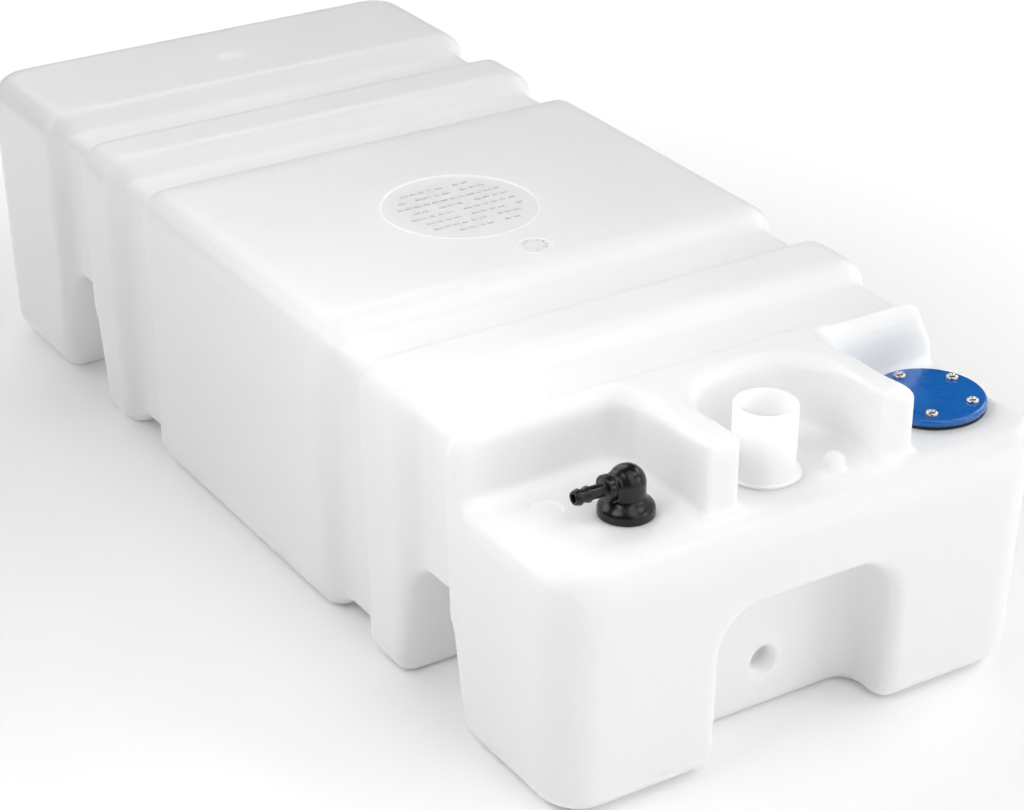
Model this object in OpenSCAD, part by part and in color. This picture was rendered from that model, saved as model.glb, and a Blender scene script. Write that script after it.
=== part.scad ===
// Inboard fuel tank: a hollow moulded body with a filler neck, a blanked sender port and a
// swivelling fuel pickup.
// Millimetres. Z is up, Y runs along the tank and the fittings end faces -Y.
// The origin is on the floor under the middle of the tank.

/* [Tank body] */
// Width at the top
tank_w = 350; // [320:1:400]
// Length at the top
tank_l = 790; // [740:1:860]
// Height
tank_h = 205; // [190:1:230]
// Wall thickness
wall = 5; // [4:0.5:6]
// Draft of the sides and ends, which lean in towards the floor
draft = 1.47; // [0.5:0.01:2]
// Radius of the upright corners
corner_r = 30; // [26:1:38]
// Radius of the long edges and of the end edges
edge_r = 22; // [20:1:28]

/* [Strap grooves] */
// Length of the middle block
mid_len = 246; // [220:1:270]
// Length of each rib
rib_len = 49; // [42:1:56]
// Length of each end block
end_len = 126; // [122:1:132]
// Depth of the grooves
groove_d = 11; // [8:0.5:12]
// Radius where a groove meets the outside
groove_rim_r = 10; // [7:0.5:11]

/* [Side notches] */
// Height of the notches under the outer grooves
notch_h = 84; // [70:1:95]
// Depth of the notches from the side
notch_d = 60; // [45:1:75]
// Radius in the notches' upper corners
notch_r = 14; // [8:1:18]
// How much wider a notch is than its groove, at the notch's top
notch_extra = 5; // [0:0.5:6]
// Lean of the notches' walls, which spread towards the floor
notch_lean = 8.5; // [0:0.5:9]

/* [Front recess] */
// Width of the recess round the lower port
recess_w = 126; // [110:1:136]
// Height of the recess
recess_h = 108; // [96:1:118]
// Depth of the recess from the tank's front end
recess_d = 45; // [38:1:50]
// Radius in the recess's upper corners
recess_r = 28; // [16:1:36]

/* [Fittings shelf] */
// Drop from the top to the shelf
shelf_drop = 45; // [40:1:50]
// Length of the shelf from the tank's front end
shelf_len = 112; // [108:1:115]
// Distance from the front end to the ridges
ridge_back = 27; // [24:1:32]
// Left face of the left ridge
ridge_left_x = -62; // [-68:1:-58]
// Right face of the right ridge
ridge_right_x = 87; // [84:1:90]
// Left side of the filler well
well_left_x = -39; // [-42:1:-36]
// Right side of the filler well
well_right_x = 60; // [56:1:63]
// Length of the filler well from the front end
well_len = 100; // [96:1:103]
// Radius in the back corners of the filler well
well_r = 44; // [36:1:46]
// Radius in the back corners of the side pockets
pocket_r = 18; // [12:1:24]
// Radius of the shelf's front lip
lip_front_r = 25; // [18:1:27]
// Radius of the shelf's left lip
lip_left_r = 14; // [8:1:18]
// Radius of the shelf's right lip
lip_right_r = 4.5; // [3:0.5:5]

/* [Filler neck] */
// Outside radius of the neck
neck_r = 19; // [17:0.5:20]
// Wall of the neck
neck_wall = 3; // [2:0.5:4]
// Sideways place of the neck
neck_x = -2; // [-5:0.5:2]
// Distance of the neck from the front end
neck_back = 54; // [52:0.5:58]
// How far the base collar stands out from the neck
neck_collar = 4; // [3:0.5:6]
// Height of the base collar
neck_collar_h = 4; // [3:0.5:6]

/* [Sender cover] */
// Radius of the cover plate
cover_r = 35.5; // [34:0.5:36]
// Thickness of the cover plate
cover_t = 4.8; // [4:0.1:6]
// Thickness of the gasket
gasket_t = 2; // [1.5:0.1:3]
// Distance of the cover from the right side
cover_side = 41; // [40:0.5:46]
// Distance of the cover from the front end
cover_back = 69; // [66:0.5:72]
// Radius of the port hole
port_r = 20; // [18:0.5:21]
// Radius of the screw circle
screw_pcd_r = 27; // [26:0.5:28]
// Radius of a screw's thread
screw_r = 2; // [1.5:0.25:2.25]
// Radius of a screw's head
screw_head_r = 4; // [3.5:0.25:4.5]
// Height of a screw's head
screw_head_h = 2.6; // [2:0.1:3]
// Radius of a threaded insert
insert_r = 4; // [3.5:0.25:4.5]
// Length of a threaded insert
insert_len = 10; // [8:0.5:12]

/* [Fuel pickup] */
// Distance of the pickup from the left side
pickup_side = 79; // [75:0.5:81]
// Distance of the pickup from the front end
pickup_back = 56; // [54:0.5:60]
// Radius of the elbow's skirt
skirt_r = 16.7; // [16:0.1:18]
// Height of the skirt's shoulder above the shelf
skirt_h = 8.6; // [8:0.1:9]
// Radius of the skirt's shoulder
shoulder_r = 4.6; // [4:0.1:5]
// Radius of the fillet between the skirt and the dome
waist_r = 5; // [4:0.25:6]
// Radius of the elbow's dome
dome_r = 11; // [10.5:0.1:12]
// Height of the hose barb above the shelf
barb_z = 20; // [19:0.5:22]
// Reach of the hose barb from the elbow's axis
barb_reach = 36; // [32:0.5:37]
// Radius of the hose barb
barb_r = 4; // [3.5:0.25:4.5]
// Radius of the collar at the root of the barb
collar_r = 8; // [7:0.25:8.5]
// Reach of that collar from the elbow's axis
collar_reach = 16; // [15:0.5:16.5]
// Radius of the stem that the elbow turns on
stem_r = 7.5; // [7:0.1:8]
// Radius of the stem's thread
stem_thread_r = 9; // [8.5:0.25:10]
// Radius of the stem's flange
flange_r = 12.5; // [12:0.25:13]
// Radius of the dip tube
tube_r = 5; // [4.5:0.25:5.5]
// Length of the threaded bush in the shelf
bush_len = 14; // [12:1:18]
// Gap between the strainer and the tank's inside floor
strainer_gap = 3; // [2:0.5:6]

/* [Lower port] */
// Radius of the port's thread, measured at the thread's crests
outlet_r = 9.3; // [8:0.1:10]
// Height of the port
outlet_z = 35; // [30:1:45]
// Depth of the thread
outlet_depth = 13; // [11:1:14]

/* [Moulded details] */
// Sideways place of the small nub in the filler well
nub_x = 35; // [32:0.5:38]
// Distance of the nub from the front end
nub_back = 35; // [33:0.5:38]
// Radius of the nub
nub_r = 6.5; // [5:0.5:8]
// Height of the nub's straight part
nub_h = 5; // [3:0.5:7]
// Distance of the pocket's dimple from the left side
dimple_side = 45; // [43:0.5:47]
// Distance of the pocket's dimple from the front end
dimple_back = 84; // [82:0.5:86]
// Radius of the pocket's dimple
dimple_r = 8.8; // [7:0.1:10]
// Depth of the pocket's dimple
dimple_d = 2; // [1:0.5:3]
// Distance of the rear dimple from the rear end
rear_dimple_back = 73; // [68:0.5:78]
// Radius of the rear dimple
rear_dimple_r = 10; // [8:0.5:12]
// Depth of the rear dimple
rear_dimple_d = 2.5; // [1:0.5:3]
// Sideways place of the sunk disc on the middle block
disc_x = -4; // [-8:0.5:4]
// Place of the sunk disc along the middle block
disc_y = -10; // [-16:0.5:10]
// Radius of the sunk disc
disc_r = 52.5; // [45:0.5:56]
// Depth of the sunk disc
disc_d = 0.6; // [0.4:0.1:1]

/* [Clearances] */
// Radial gap of the elbow on its stem
swivel_gap = 0.06; // [0.02:0.01:0.1]
// Gap between the elbow and the pieces that it turns over
turn_gap = 0.35; // [0.3:0.05:0.5]
// Radial gap of pushed-in and screwed-in pieces
push_gap = 0.05; // [0.02:0.01:0.1]

/* [Part shown] */
// Piece to draw

/* [Hidden] */
$fn = 64;
far = 30;
hair = 0.04;
lean = tan(draft);
slant = 1 / cos(draft);
front_y = -tank_l / 2;
shelf_z = tank_h - shelf_drop;
groove_w = (tank_l / 2 - end_len - mid_len / 2 - rib_len) / 2;
groove_in_y = mid_len / 2 + groove_w / 2;
groove_out_y = tank_l / 2 - end_len - groove_w / 2;
rib_y = mid_len / 2 + groove_w;
end_y = tank_l / 2 - end_len;
blocks = [[-tank_l, -end_y], [-rib_y - rib_len, -rib_y], [-mid_len / 2, mid_len / 2],
    [rib_y, rib_y + rib_len], [end_y, tank_l]];
recess_y = front_y + recess_d;
shelf_y = front_y + shelf_len;
ridge_y = front_y + ridge_back;
well_y = front_y + well_len;
neck_y = front_y + neck_back;
cover_x = tank_w / 2 - cover_side;
cover_y = front_y + cover_back;
cover_z = shelf_z + gasket_t + cover_t;
screw_angles = [for (i = [0 : 4]) 18 + 72 * i];
screw_len = cover_t + gasket_t + insert_len - 1;
pickup_x = pickup_side - tank_w / 2;
pickup_y = front_y + pickup_back;
seal_t = 2;
flange_z = shelf_z + seal_t;
flange_t = 3;
stem_base_z = flange_z + flange_t;
stem_top_z = stem_base_z + 9.5;
stem_foot_z = shelf_z - bush_len - 14;
stem_bore_r = 3;
tube_wall = 1;
ring_r = 1.1;
ring_z = stem_base_z + 2.4;
clip_z = stem_base_z + 6;
clip_t = 1;
clip_in_r = stem_r - 1;
clip_out_r = stem_r + 0.9;
strainer_r = tube_r + 2.5;
strainer_z = wall + strainer_gap;
strainer_h = 16;
mesh_t = 0.3;
plate_t = 2;

// Steps in a quarter turn: fine outside, coarse on the tank's inside
function steps(inset) = inset > 0 ? 4 : 6;

// Points along an arc, from one angle to another
function arc(c, r, a0, a1, n = 6) =
    [for (i = [0 : n]) let (a = a0 + (a1 - a0) * i / n) c + r * [cos(a), sin(a)]];

// Half width at a height, for a size at the top and a distance in from the outside
function half_at(top_half, z, inset) = top_half - lean * (tank_h - z) - inset * slant;

// Right half of a rounded outline that leans in towards the floor
function lean_half(top_half, r, inset) =
    let (z0 = inset + r, z1 = tank_h - inset - r, n = steps(inset))
    concat(
        arc([half_at(top_half, z0, inset) - r * slant, z0], r, -90, -draft, n),
        arc([half_at(top_half, z1, inset) - r * slant, z1], r, -draft, 90, n));

// A right half with its mirror image
function both_sides(p) =
    concat(p, [for (i = [len(p) - 1 : -1 : 0]) [-p[i].x, p[i].y]]);

// Outline of a rounded rectangle
function round_rect(x0, x1, y0, y1, r, n = 6) = concat(
    arc([x1 - r, y0 + r], r, -90, 0, n), arc([x1 - r, y1 - r], r, 0, 90, n),
    arc([x0 + r, y1 - r], r, 90, 180, n), arc([x0 + r, y0 + r], r, 180, 270, n));

// Right half of an arch whose walls lean out towards the floor, some way out from the true arch
function arch_half(half, top, r, angle, inset) =
    let (z1 = top + inset,
        x1 = half + inset / cos(angle) - inset * tan(angle),
        ro = r + inset)
    concat(
        [[x1 + tan(angle) * (z1 + tank_h / 2), -tank_h / 2]],
        arc([x1 + ro * tan(angle) - ro / cos(angle), z1 - ro], ro, angle, 90, steps(inset)));

// Solid block with leaning sides and round edges, kept some way in from the outside
module body_block(inset) {
    foot_w = half_at(tank_w / 2, inset, inset);
    foot_l = half_at(tank_l / 2, inset, inset);
    head_w = half_at(tank_w / 2, tank_h - inset, inset);
    head_l = half_at(tank_l / 2, tank_h - inset, inset);
    intersection() {
        translate([0, 0, inset])
            linear_extrude(tank_h - 2 * inset, scale = [head_w / foot_w, head_l / foot_l],
                slices = 1)
                polygon(round_rect(-foot_w, foot_w, -foot_l, foot_l, corner_r - inset, steps(inset)));
        rotate([90, 0, 0])
            linear_extrude(tank_l + far, center = true)
                polygon(both_sides(lean_half(tank_w / 2 + hair, edge_r - inset, inset)));
        rotate([90, 0, 90])
            linear_extrude(tank_w + far, center = true)
                polygon(both_sides(lean_half(tank_l / 2 + hair, edge_r - inset, inset)));
    }
}

// Inner bar at the depth of the strap grooves, over the tank's whole length
module groove_core(inset) {
    depth = groove_d + inset;
    rotate([90, 0, 0])
        linear_extrude(tank_l + far, center = true)
            polygon(both_sides(lean_half(tank_w / 2, edge_r - depth, depth)));
}

// The five blocks that stand out between the strap grooves
module raised_blocks(inset) {
    foot_w = half_at(tank_w / 2, 0, inset) + hair;
    head_w = half_at(tank_w / 2, tank_h, inset) + hair;
    r = groove_rim_r - inset;
    for (span = blocks) {
        y0 = span[0] + inset;
        y1 = span[1] - inset;
        intersection() {
            linear_extrude(tank_h, scale = [head_w / foot_w, 1], slices = 1)
                polygon(round_rect(-foot_w, foot_w, y0, y1, r, steps(inset)));
            rotate([90, 0, 90])
                linear_extrude(tank_w + far, center = true)
                    polygon(round_rect(y0, y1, inset - hair, tank_h - inset + hair, r, steps(inset)));
        }
    }
}

// Cutter for the space above the shelf: left pocket, filler well, right pocket and front strip
module shelf_space(inset) {
    y0 = front_y - far;
    crest = inset > 0 ? 2.4 * inset : 0;
    translate([0, 0, shelf_z - inset])
        linear_extrude(shelf_drop + far) {
            polygon(round_rect(-tank_w, ridge_left_x + inset, y0,
                shelf_y + inset + crest, pocket_r + inset, steps(inset)));
            polygon(round_rect(well_left_x - inset, well_right_x + inset, y0,
                well_y + inset, well_r + inset, steps(inset)));
            polygon(round_rect(ridge_right_x - inset, tank_w, y0,
                shelf_y + inset + crest, pocket_r + inset, steps(inset)));
            translate([-tank_w, y0])
                square([2 * tank_w, ridge_y + inset - y0]);
        }
}

// Section that rounds off an edge; the corner of the edge is at the origin, the solid is at -X -Y
module lip_section(r) {
    polygon(concat(
        arc([-r + hair, -r + hair], r, 90, 0),
        [[far, -r], [far, far], [-r, far]]));
}

// Cutters that round the shelf's lips
module shelf_lips(inset) {
    z = shelf_z - inset;
    x = half_at(tank_w / 2, z, inset);
    y = half_at(tank_l / 2, z, inset);
    run = shelf_len + far;
    translate([0, -y, z])
        rotate([90, 0, -90])
            linear_extrude(tank_w + far, center = true)
                lip_section(lip_front_r - inset / 2);
    translate([x, shelf_y + inset - hair, z])
        rotate([90, 0, 0])
            linear_extrude(run)
                lip_section(lip_right_r);
    translate([-x, shelf_y + inset - hair, z])
        rotate([90, 0, 0])
            linear_extrude(run)
                mirror([1, 0])
                    lip_section(lip_left_r - inset / 2);
}

// Cutter for the recess round the lower port
module recess_space(inset) {
    translate([0, recess_y + inset, 0])
        rotate([90, 0, 0])
            linear_extrude(recess_d + inset + far)
                polygon(round_rect(-recess_w / 2 - inset, recess_w / 2 + inset,
                    -tank_h / 2, recess_h + inset, recess_r + inset, steps(inset)));
}

// Cutters for the four notches under the outer grooves
module notch_spaces(inset) {
    in_x = tank_w / 2 - notch_d - inset;
    for (side = [-1, 1])
        for (end = [-1, 1])
            translate([side * (in_x + tank_w / 4), end * groove_out_y, 0])
                rotate([90, 0, 90])
                    linear_extrude(tank_w / 2, center = true)
                        polygon(both_sides(arch_half((groove_w + notch_extra) / 2, notch_h,
                            notch_r, notch_lean, inset)));
}

// The tank's whole shape, some way in from the outside
module tank_volume(inset) {
    difference() {
        intersection() {
            body_block(inset);
            union() {
                groove_core(inset);
                raised_blocks(inset);
            }
        }
        shelf_space(inset);
        shelf_lips(inset);
        recess_space(inset);
        notch_spaces(inset);
    }
}

// Thick places inside the tank that hold the inserts and the lower port
module inner_bosses() {
    translate([cover_x, cover_y, shelf_z - insert_len - 4])
        cylinder(h = insert_len + 4, r = cover_r - 1);
    translate([pickup_x, pickup_y, shelf_z - bush_len + 2])
        cylinder(h = bush_len - 2, r = flange_r + 6);
    translate([0, recess_y, outlet_z])
        rotate([-90, 0, 0])
            cylinder(h = outlet_depth + wall, r = outlet_r + 6);
}

// Places of the five cover screws
module at_screws() {
    for (a = screw_angles)
        translate([cover_x + screw_pcd_r * cos(a), cover_y + screw_pcd_r * sin(a), 0])
            children();
}

// Axis of the pickup
module at_pickup() {
    translate([pickup_x, pickup_y, 0])
        children();
}

// Rings that stand for the lower port's thread
module outlet_thread() {
    pitch = 1.8;
    for (i = [0 : floor(outlet_depth / pitch) - 2])
        translate([0, 0, 1 + i * pitch])
            cylinder(h = pitch / 2, r1 = outlet_r + 0.9, r2 = outlet_r);
}

module tank_shell() {
    color("white")
    difference() {
        union() {
            tank_volume(0);
            translate([nub_x, front_y + nub_back, shelf_z - 1])
                cylinder(h = nub_h + 1, r = nub_r);
            translate([nub_x, front_y + nub_back, shelf_z + nub_h - 1])
                intersection() {
                    sphere(r = nub_r + 0.1);
                    cylinder(h = 2 * nub_r, r = nub_r);
                }
        }
        difference() {
            tank_volume(wall);
            inner_bosses();
        }
        translate([neck_x, neck_y, shelf_z - wall - 1])
            cylinder(h = wall + 2, r = neck_r - 1 + push_gap);
        translate([cover_x, cover_y, shelf_z - far])
            cylinder(h = far + 1, r = port_r);
        at_screws()
            translate([0, 0, shelf_z - insert_len])
                cylinder(h = insert_len + 1, r = insert_r);
        at_pickup()
            translate([0, 0, shelf_z - bush_len])
                cylinder(h = bush_len + 1, r = flange_r + 1);
        translate([0, recess_y - 1, outlet_z])
            rotate([-90, 0, 0])
                cylinder(h = outlet_depth + 1, r = outlet_r);
        translate([0, recess_y, outlet_z])
            rotate([-90, 0, 0])
                outlet_thread();
        translate([dimple_side - tank_w / 2, front_y + dimple_back, shelf_z - dimple_d])
            cylinder(h = dimple_d + 1, r = dimple_r);
        translate([neck_x, -front_y - rear_dimple_back, tank_h - rear_dimple_d])
            cylinder(h = rear_dimple_d + 1, r = rear_dimple_r);
        translate([disc_x, disc_y, tank_h - disc_d])
            cylinder(h = disc_d + 1, r = disc_r);
    }
}

module filler_neck() {
    bore_r = neck_r - neck_wall;
    color("ghostwhite")
    translate([neck_x, neck_y, 0])
        difference() {
            union() {
                translate([0, 0, shelf_z - wall - 2])
                    cylinder(h = wall + 4, r = neck_r - 1);
                translate([0, 0, shelf_z])
                    cylinder(h = neck_collar_h / 2, r = neck_r + neck_collar);
                translate([0, 0, shelf_z + neck_collar_h / 2])
                    cylinder(h = neck_collar_h / 2, r1 = neck_r + neck_collar, r2 = neck_r + 1);
                translate([0, 0, shelf_z])
                    cylinder(h = shelf_drop, r = neck_r);
            }
            translate([0, 0, shelf_z - far])
                cylinder(h = shelf_drop + 2 * far, r = bore_r);
        }
}

module sender_cover() {
    bevel = 1.2;
    color("royalblue")
    difference() {
        translate([cover_x, cover_y, shelf_z + gasket_t])
            union() {
                cylinder(h = cover_t - bevel, r = cover_r);
                translate([0, 0, cover_t - bevel])
                    cylinder(h = bevel, r1 = cover_r, r2 = cover_r - bevel);
            }
        at_screws()
            translate([0, 0, shelf_z])
                cylinder(h = far, r = screw_r + 0.25);
    }
}

module cover_gasket() {
    color("black")
    difference() {
        translate([cover_x, cover_y, shelf_z])
            cylinder(h = gasket_t, r = cover_r - 0.5);
        translate([cover_x, cover_y, shelf_z - 1])
            cylinder(h = gasket_t + 2, r = port_r + 0.5);
        at_screws()
            translate([0, 0, shelf_z - 1])
                cylinder(h = gasket_t + 2, r = screw_r + 0.25);
    }
}

// One pan-head screw with a cross recess; its head's underside is at the origin
module pan_screw() {
    difference() {
        union() {
            cylinder(h = screw_head_h * 0.5, r = screw_head_r);
            translate([0, 0, screw_head_h * 0.5])
                cylinder(h = screw_head_h * 0.5, r1 = screw_head_r, r2 = screw_head_r * 0.6);
            translate([0, 0, -screw_len])
                cylinder(h = screw_len + 1, r = screw_r - push_gap);
        }
        for (a = [0, 90])
            rotate(a)
                translate([-screw_head_r * 0.55, -0.45, screw_head_h * 0.45])
                    cube([screw_head_r * 1.1, 0.9, screw_head_h]);
    }
}

module cover_screws() {
    color("silver")
    at_screws()
        translate([0, 0, cover_z])
            pan_screw();
}

module screw_inserts() {
    color("gold")
    at_screws()
        translate([0, 0, shelf_z - insert_len])
            difference() {
                cylinder(h = insert_len, r = insert_r);
                translate([0, 0, -1])
                    cylinder(h = insert_len + 2, r = screw_r);
            }
}

// Outside of the elbow, from the skirt's foot to the dome's top
module elbow_outside() {
    low = [skirt_r - shoulder_r, skirt_h - shoulder_r];
    across = dome_r + waist_r - low.x;
    rise = sqrt((shoulder_r + waist_r) ^ 2 - across ^ 2);
    high = [dome_r + waist_r, low.y + rise];
    lean_over = atan2(rise, across);
    rotate_extrude()
        polygon(concat(
            [[0, turn_gap], [skirt_r, turn_gap]],
            arc(low, shoulder_r, 0, lean_over),
            arc(high, waist_r, 180 + lean_over, 180),
            [[dome_r, barb_z], [0, barb_z]]));
    translate([0, 0, barb_z])
        sphere(r = dome_r);
    translate([0, 0, barb_z])
        rotate([0, -90, 0])
            barb_outside();
}

// Outside of the hose barb, with its collar and two ridges
module barb_outside() {
    cylinder(h = collar_reach, r = collar_r);
    cylinder(h = barb_reach, r = barb_r);
    for (z = [barb_reach - 10, barb_reach - 4])
        translate([0, 0, z]) {
            cylinder(h = 1.2, r = barb_r + 0.9);
            translate([0, 0, 1.2])
                cylinder(h = 2.8, r1 = barb_r + 0.9, r2 = barb_r);
        }
}

module pickup_elbow() {
    bore_top = stem_top_z - shelf_z + turn_gap;
    color("dimgray")
    at_pickup()
        translate([0, 0, shelf_z])
            difference() {
                elbow_outside();
                translate([0, 0, -1])
                    cylinder(h = stem_base_z - shelf_z + turn_gap + 1, r = flange_r + 2 * turn_gap);
                cylinder(h = bore_top, r = stem_r + swivel_gap);
                translate([0, 0, clip_z - shelf_z - turn_gap])
                    cylinder(h = clip_t + 2 * turn_gap, r = clip_out_r + turn_gap);
                cylinder(h = barb_z, r = stem_bore_r);
                translate([0, 0, barb_z])
                    rotate([0, -90, 0])
                        cylinder(h = barb_reach + 1, r = barb_r - 1.4);
            }
}

module pickup_stem() {
    color("dimgray")
    at_pickup()
        difference() {
            union() {
                translate([0, 0, stem_foot_z])
                    cylinder(h = shelf_z - stem_foot_z, r = tube_r + 2.5);
                translate([0, 0, shelf_z - bush_len])
                    cylinder(h = bush_len + seal_t + 1, r = stem_thread_r - push_gap);
                translate([0, 0, flange_z])
                    cylinder(h = flange_t, r = flange_r);
                translate([0, 0, flange_z])
                    cylinder(h = stem_top_z - flange_z, r = stem_r);
            }
            translate([0, 0, stem_foot_z - 1])
                cylinder(h = stem_top_z - stem_foot_z + 2, r = stem_bore_r);
            translate([0, 0, stem_foot_z - 1])
                cylinder(h = 15, r = tube_r + push_gap);
            translate([0, 0, ring_z - ring_r - 0.1])
                stem_groove(2 * ring_r + 0.2, stem_r - 2 * ring_r);
            translate([0, 0, clip_z - push_gap])
                stem_groove(clip_t + 2 * push_gap, clip_in_r);
        }
}

// Ring cut round the stem
module stem_groove(h, r) {
    difference() {
        cylinder(h = h, r = stem_r + 2);
        translate([0, 0, -1])
            cylinder(h = h + 2, r = r);
    }
}

module stem_seal() {
    color("black")
    at_pickup()
        translate([0, 0, shelf_z])
            difference() {
                cylinder(h = seal_t, r = flange_r);
                translate([0, 0, -1])
                    cylinder(h = seal_t + 2, r = stem_thread_r + 0.2);
            }
}

module stem_o_ring() {
    color("black")
    at_pickup()
        translate([0, 0, ring_z])
            rotate_extrude()
                translate([stem_r - ring_r, 0])
                    circle(r = ring_r);
}

module stem_clip() {
    color("silver")
    at_pickup()
        translate([0, 0, clip_z])
            difference() {
                cylinder(h = clip_t, r = clip_out_r);
                translate([0, 0, -1])
                    cylinder(h = clip_t + 2, r = clip_in_r);
                translate([0, -2, -1])
                    cube([far, 4, clip_t + 2]);
            }
}

module pickup_insert() {
    color("gold")
    at_pickup()
        translate([0, 0, shelf_z - bush_len])
            difference() {
                cylinder(h = bush_len, r = flange_r + 1);
                translate([0, 0, -1])
                    cylinder(h = bush_len + 2, r = stem_thread_r);
            }
}

module dip_tube() {
    foot_z = strainer_z + plate_t + strainer_h + 1;
    color("gainsboro")
    at_pickup()
        difference() {
            translate([0, 0, foot_z])
                cylinder(h = stem_foot_z + 14 - foot_z, r = tube_r);
            translate([0, 0, foot_z - 1])
                cylinder(h = tank_h, r = tube_r - tube_wall);
        }
}

module strainer_frame() {
    top_z = plate_t + strainer_h;
    color("dimgray")
    at_pickup()
        translate([0, 0, strainer_z])
            difference() {
                union() {
                    cylinder(h = plate_t, r = strainer_r);
                    translate([0, 0, top_z])
                        cylinder(h = 10, r = strainer_r);
                    for (a = [45 : 90 : 315])
                        rotate(a)
                            translate([tube_r + 1, -1, plate_t / 2])
                                cube([1.2, 2, strainer_h + plate_t]);
                }
                translate([0, 0, top_z + 1])
                    cylinder(h = 20, r = tube_r + push_gap);
                translate([0, 0, top_z - 1])
                    cylinder(h = 20, r = tube_r - tube_wall);
            }
}

module strainer_mesh() {
    color("silver")
    at_pickup()
        translate([0, 0, strainer_z + plate_t])
            difference() {
                cylinder(h = strainer_h, r = tube_r + 1);
                translate([0, 0, -1])
                    cylinder(h = strainer_h + 2, r = tube_r + 1 - mesh_t);
            }
}

tank_shell();
filler_neck();
sender_cover();
cover_gasket();
cover_screws();
screw_inserts();
pickup_elbow();
pickup_stem();
stem_seal();
stem_o_ring();
stem_clip();
pickup_insert();
dip_tube();
strainer_frame();
strainer_mesh();
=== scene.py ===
"""Dressed model of a moulded inboard fuel tank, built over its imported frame.

Every size is in millimetres until a mesh is made, and the mesh is in metres.
"""

import logging
import math
from dataclasses import dataclass, field
from enum import Enum
from typing import Callable, Iterable, Sequence

import bmesh
import bpy
import numpy as np
from mathutils import Matrix, Vector


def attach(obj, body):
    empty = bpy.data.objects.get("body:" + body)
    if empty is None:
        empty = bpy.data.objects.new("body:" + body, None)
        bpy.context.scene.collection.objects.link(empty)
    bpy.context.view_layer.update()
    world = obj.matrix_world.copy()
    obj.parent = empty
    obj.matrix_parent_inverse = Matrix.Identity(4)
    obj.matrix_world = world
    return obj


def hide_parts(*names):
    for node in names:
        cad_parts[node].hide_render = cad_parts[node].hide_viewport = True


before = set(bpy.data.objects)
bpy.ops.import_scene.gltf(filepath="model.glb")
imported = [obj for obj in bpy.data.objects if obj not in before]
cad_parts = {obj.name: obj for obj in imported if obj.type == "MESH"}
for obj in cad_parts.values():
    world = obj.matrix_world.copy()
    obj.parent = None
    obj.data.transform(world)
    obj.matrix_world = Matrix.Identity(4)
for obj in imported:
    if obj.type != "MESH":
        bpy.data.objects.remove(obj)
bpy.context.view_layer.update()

LOG = logging.getLogger("fuel_tank")
MM = 0.001
Array = np.ndarray
Field = Callable[[Array, Array, Array], Array]
Colour = tuple[float, float, float]
NOISE_SPAN = (0.3, 0.7)  # where most of a noise texture's values lie


class Body(Enum):
    """Bodies of the frame that a piece can ride on."""

    TANK = "tank"
    ELBOW = "elbow"


class Slot(Enum):
    """Material slots of the record."""

    TANK = "tank_plastic"
    NECK = "neck_plastic"
    BLUE = "blue_plastic"
    SEAL = "seal_rubber"
    STEEL = "steel"
    BRASS = "insert_brass"
    BLACK = "black_plastic"


# Fields and skins


def round_max(a: Array, b: Array, r: Array | float) -> Array:
    """Overlap of two distance fields, with its outer corner rounded.

    Args:
        a: first field, negative inside.
        b: second field.
        r: radius of the corner.

    Returns:
        The joined field.
    """
    return np.minimum(np.maximum(a, b), -r) + np.hypot(np.maximum(a + r, 0.0), np.maximum(b + r, 0.0))


def round_min(a: Array, b: Array, r: Array | float) -> Array:
    """Union of two distance fields, with its inner corner filled to a radius.

    Args:
        a: first field, negative inside.
        b: second field.
        r: radius of the fillet.

    Returns:
        The joined field.
    """
    return -round_max(-a, -b, r)


def ramp(value: Array, low: float, high: float) -> Array:
    """Smooth step from 0 at low to 1 at high."""
    t = np.clip((value - low) / (high - low), 0.0, 1.0)
    return t * t * (3.0 - 2.0 * t)


def grid_lines(*spans: tuple[float, float, float]) -> Array:
    """Grid lines for a run of spans.

    Args:
        spans: start, end and spacing of each span, in order.

    Returns:
        The lines' places, rising.
    """
    parts = [np.linspace(a, b, max(1, round((b - a) / step)), endpoint=False) for a, b, step in spans]
    return np.concatenate(parts + [np.array([spans[-1][1]])])


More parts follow.
